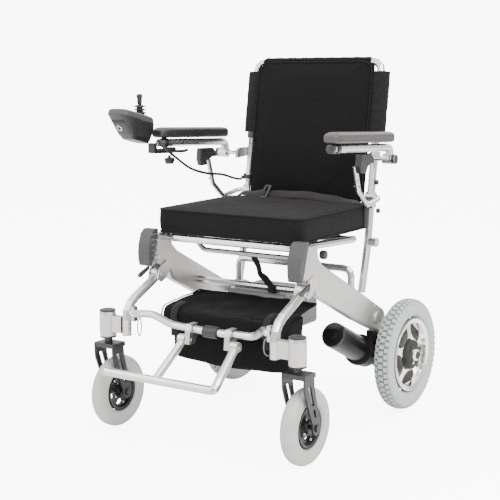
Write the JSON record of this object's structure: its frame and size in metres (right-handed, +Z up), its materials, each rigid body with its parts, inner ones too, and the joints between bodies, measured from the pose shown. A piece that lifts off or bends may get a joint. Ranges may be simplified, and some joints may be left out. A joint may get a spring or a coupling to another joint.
{
  "type": "transport wheelchair",
  "caption": "Folding powered wheelchair with padded seat, folding back, flip-up armrests, joystick, two drive wheels and two swivel casters.",
  "frame": {"origin": "on the ground at the middle of the footprint", "axes": "+Z up, -Y towards the front, +X towards the user's left"},
  "size_m": [0.68, 0.8275, 0.9967],
  "materials": {
    "frame_silver": "satin silver tube and plate",
    "gearbox_cast": "cast, satin",
    "motor_black": "satin black",
    "battery_case": "matte grey-brown",
    "bag_fabric": "coated black cloth",
    "cushion_fabric": "black breathable mesh cloth",
    "back_fabric": "black padded cloth",
    "belt_webbing": "grey woven webbing",
    "black_plastic": "moulded black",
    "dark_steel": "zinc plated",
    "drive_tyre_rubber": "light grey rubber",
    "caster_tyre_rubber": "light grey rubber",
    "rim_alloy": "bright cast alloy",
    "fork_black": "satin black",
    "caster_rim_dark": "dark painted alloy",
    "hub_black": "black with a metal cap",
    "armpad_foam": "soft grained foam skin",
    "controller_shell": "moulded dark grey",
    "joystick_rubber": "soft black",
    "button_grey": "grey keys"
  },
  "bodies": {
    "chassis": {"rear_cross_arch": "frame_silver", "frame_crossbar": "frame_silver", "battery_box": "battery_case", "under_seat_bag": "bag_fabric", "seat_frame": "frame_silver", "seat_cushion": "cushion_fabric", "seat_belt": "belt_webbing", "side_beam_left": "frame_silver", "beam_front_cap_left": "black_plastic", "motor_left": "motor_black", "gearbox_left": "gearbox_cast", "leg_hinge_bolt_left": "dark_steel", "lower_back_post_left": "frame_silver", "side_beam_right": "frame_silver", "beam_front_cap_right": "black_plastic", "motor_right": "motor_black", "gearbox_right": "gearbox_cast", "leg_hinge_bolt_right": "dark_steel", "lower_back_post_right": "frame_silver"},
    "rear_wheel_left": {"rear_tyre_left": "drive_tyre_rubber", "rear_rim_left": "rim_alloy", "rear_hub_left": "hub_black"},
    "rear_wheel_right": {"rear_tyre_right": "drive_tyre_rubber", "rear_rim_right": "rim_alloy", "rear_hub_right": "hub_black"},
    "front_frame": {"front_leg_left": "frame_silver", "front_leg_right": "frame_silver", "caster_housing_left": "frame_silver", "caster_housing_right": "frame_silver", "front_hoop": "frame_silver", "hoop_sleeve": "black_plastic", "foot_bracket_left": "dark_steel", "foot_bracket_right": "dark_steel"},
    "caster_fork_left": {"caster_fork_left": "fork_black"},
    "caster_wheel_left": {"caster_tyre_left": "caster_tyre_rubber", "caster_rim_left": "caster_rim_dark"},
    "leg_lever_left": {"leg_lever_left": "black_plastic"},
    "caster_fork_right": {"caster_fork_right": "fork_black"},
    "caster_wheel_right": {"caster_tyre_right": "caster_tyre_rubber", "caster_rim_right": "caster_rim_dark"},
    "leg_lever_right": {"leg_lever_right": "black_plastic"},
    "footrest": {"footrest_frame": "frame_silver"},
    "fold_lock": {"fold_lock_knob": "black_plastic"},
    "backrest": {"back_posts": "frame_silver", "back_cover": "back_fabric"},
    "armrest_left": {"armrest_tube_left": "frame_silver", "armrest_pad_left": "armpad_foam"},
    "armrest_right": {"armrest_tube_right": "frame_silver", "armrest_pad_right": "armpad_foam", "controller_mount": "black_plastic", "controller_box": "controller_shell", "controller_cable": "joystick_rubber"},
    "armrest_latch_left": {"armrest_latch_left": "black_plastic"},
    "armrest_latch_right": {"armrest_latch_right": "black_plastic"},
    "controller_knob": {"controller_knob": "black_plastic"},
    "joystick_gimbal": {"joystick_boot": "joystick_rubber"},
    "joystick_stick": {"joystick_stick": "joystick_rubber"},
    "power_button": {"power_button": "button_grey"},
    "horn_button": {"horn_button": "button_grey"}
  },
  "joints": [
    {"name": "rear_wheel_left_spin", "type": "hinge", "parent": "chassis", "child": "rear_wheel_left", "pos_m": [0.295, 0.255, 0.159], "axis": [1, 0, 0], "continuous": true},
    {"name": "rear_wheel_right_spin", "type": "hinge", "parent": "chassis", "child": "rear_wheel_right", "pos_m": [-0.295, 0.255, 0.159], "axis": [1, 0, 0], "continuous": true},
    {"name": "front_frame_fold", "type": "hinge", "parent": "chassis", "child": "front_frame", "pos_m": [0, -0.207, 0.414], "axis": [1, 0, 0], "range_deg": [0, 14]},
    {"name": "caster_left_swivel", "type": "hinge", "parent": "front_frame", "child": "caster_fork_left", "pos_m": [0.302, -0.342, 0.25], "axis": [0, 0, 1], "continuous": true},
    {"name": "caster_left_spin", "type": "hinge", "parent": "caster_fork_left", "child": "caster_wheel_left", "pos_m": [0.302, -0.308, 0.0985], "axis": [1, 0, 0], "continuous": true},
    {"name": "leg_lever_left_lift", "type": "hinge", "parent": "chassis", "child": "leg_lever_left", "pos_m": [0.2586, -0.217, 0.432], "axis": [-1, 0, 0], "range_deg": [0, 30]},
    {"name": "caster_right_swivel", "type": "hinge", "parent": "front_frame", "child": "caster_fork_right", "pos_m": [-0.302, -0.342, 0.25], "axis": [0, 0, 1], "range_deg": [-80, 180]},
    {"name": "caster_right_spin", "type": "hinge", "parent": "caster_fork_right", "child": "caster_wheel_right", "pos_m": [-0.302, -0.308, 0.0985], "axis": [1, 0, 0], "continuous": true},
    {"name": "leg_lever_right_lift", "type": "hinge", "parent": "chassis", "child": "leg_lever_right", "pos_m": [-0.2586, -0.217, 0.432], "axis": [-1, 0, 0], "range_deg": [0, 30]},
    {"name": "footrest_flip", "type": "hinge", "parent": "front_frame", "child": "footrest", "pos_m": [0, -0.293, 0.268], "axis": [-1, 0, 0], "range_deg": [0, 80]},
    {"name": "fold_lock_turn", "type": "hinge", "parent": "chassis", "child": "fold_lock", "pos_m": [0.208, -0.059, 0.484], "axis": [1, 0, 0], "range_deg": [0, 90]},
    {"name": "backrest_fold", "type": "hinge", "parent": "chassis", "child": "backrest", "pos_m": [0, 0.203, 0.612], "axis": [1, 0, 0], "range_deg": [0, 75], "deforming": ["seat_belt"]},
    {"name": "armrest_left_flip", "type": "hinge", "parent": "backrest", "child": "armrest_left", "pos_m": [0.276, 0.175, 0.722], "axis": [-1, 0, 0], "range_deg": [0, 90]},
    {"name": "armrest_latch_left_pull", "type": "hinge", "parent": "armrest_left", "child": "armrest_latch_left", "pos_m": [0.262, 0.039, 0.738], "axis": [-1, 0, 0], "range_deg": [0, 12], "stiffness_Nm_per_rad": 0.5},
    {"name": "armrest_right_flip", "type": "hinge", "parent": "backrest", "child": "armrest_right", "pos_m": [-0.276, 0.175, 0.722], "axis": [-1, 0, 0], "range_deg": [0, 90], "deforming": ["controller_cable"]},
    {"name": "armrest_latch_right_pull", "type": "hinge", "parent": "armrest_right", "child": "armrest_latch_right", "pos_m": [-0.262, 0.039, 0.738], "axis": [-1, 0, 0], "range_deg": [0, 12], "stiffness_Nm_per_rad": 0.5},
    {"name": "controller_knob_turn", "type": "hinge", "parent": "armrest_right", "child": "controller_knob", "pos_m": [-0.276, -0.09, 0.72], "axis": [0, 0, 1], "continuous": true},
    {"name": "joystick_fore_aft", "type": "hinge", "parent": "armrest_right", "child": "joystick_gimbal", "pos_m": [-0.301, -0.185, 0.846], "axis": [1, 0, 0], "range_deg": [-16, 16], "stiffness_Nm_per_rad": 0.3},
    {"name": "joystick_side", "type": "hinge", "parent": "joystick_gimbal", "child": "joystick_stick", "pos_m": [-0.301, -0.185, 0.846], "axis": [0, 1, 0], "range_deg": [-16, 16], "stiffness_Nm_per_rad": 0.3, "deforming": ["joystick_boot"]},
    {"name": "power_button_press", "type": "slide", "parent": "armrest_right", "child": "power_button", "axis": [0, -0.2419, -0.9703], "range_m": [0, 0.0012], "stiffness_N_per_m": 300},
    {"name": "horn_button_press", "type": "slide", "parent": "armrest_right", "child": "horn_button", "axis": [0, -0.2419, -0.9703], "range_m": [0, 0.0012], "stiffness_N_per_m": 300}
  ]
}
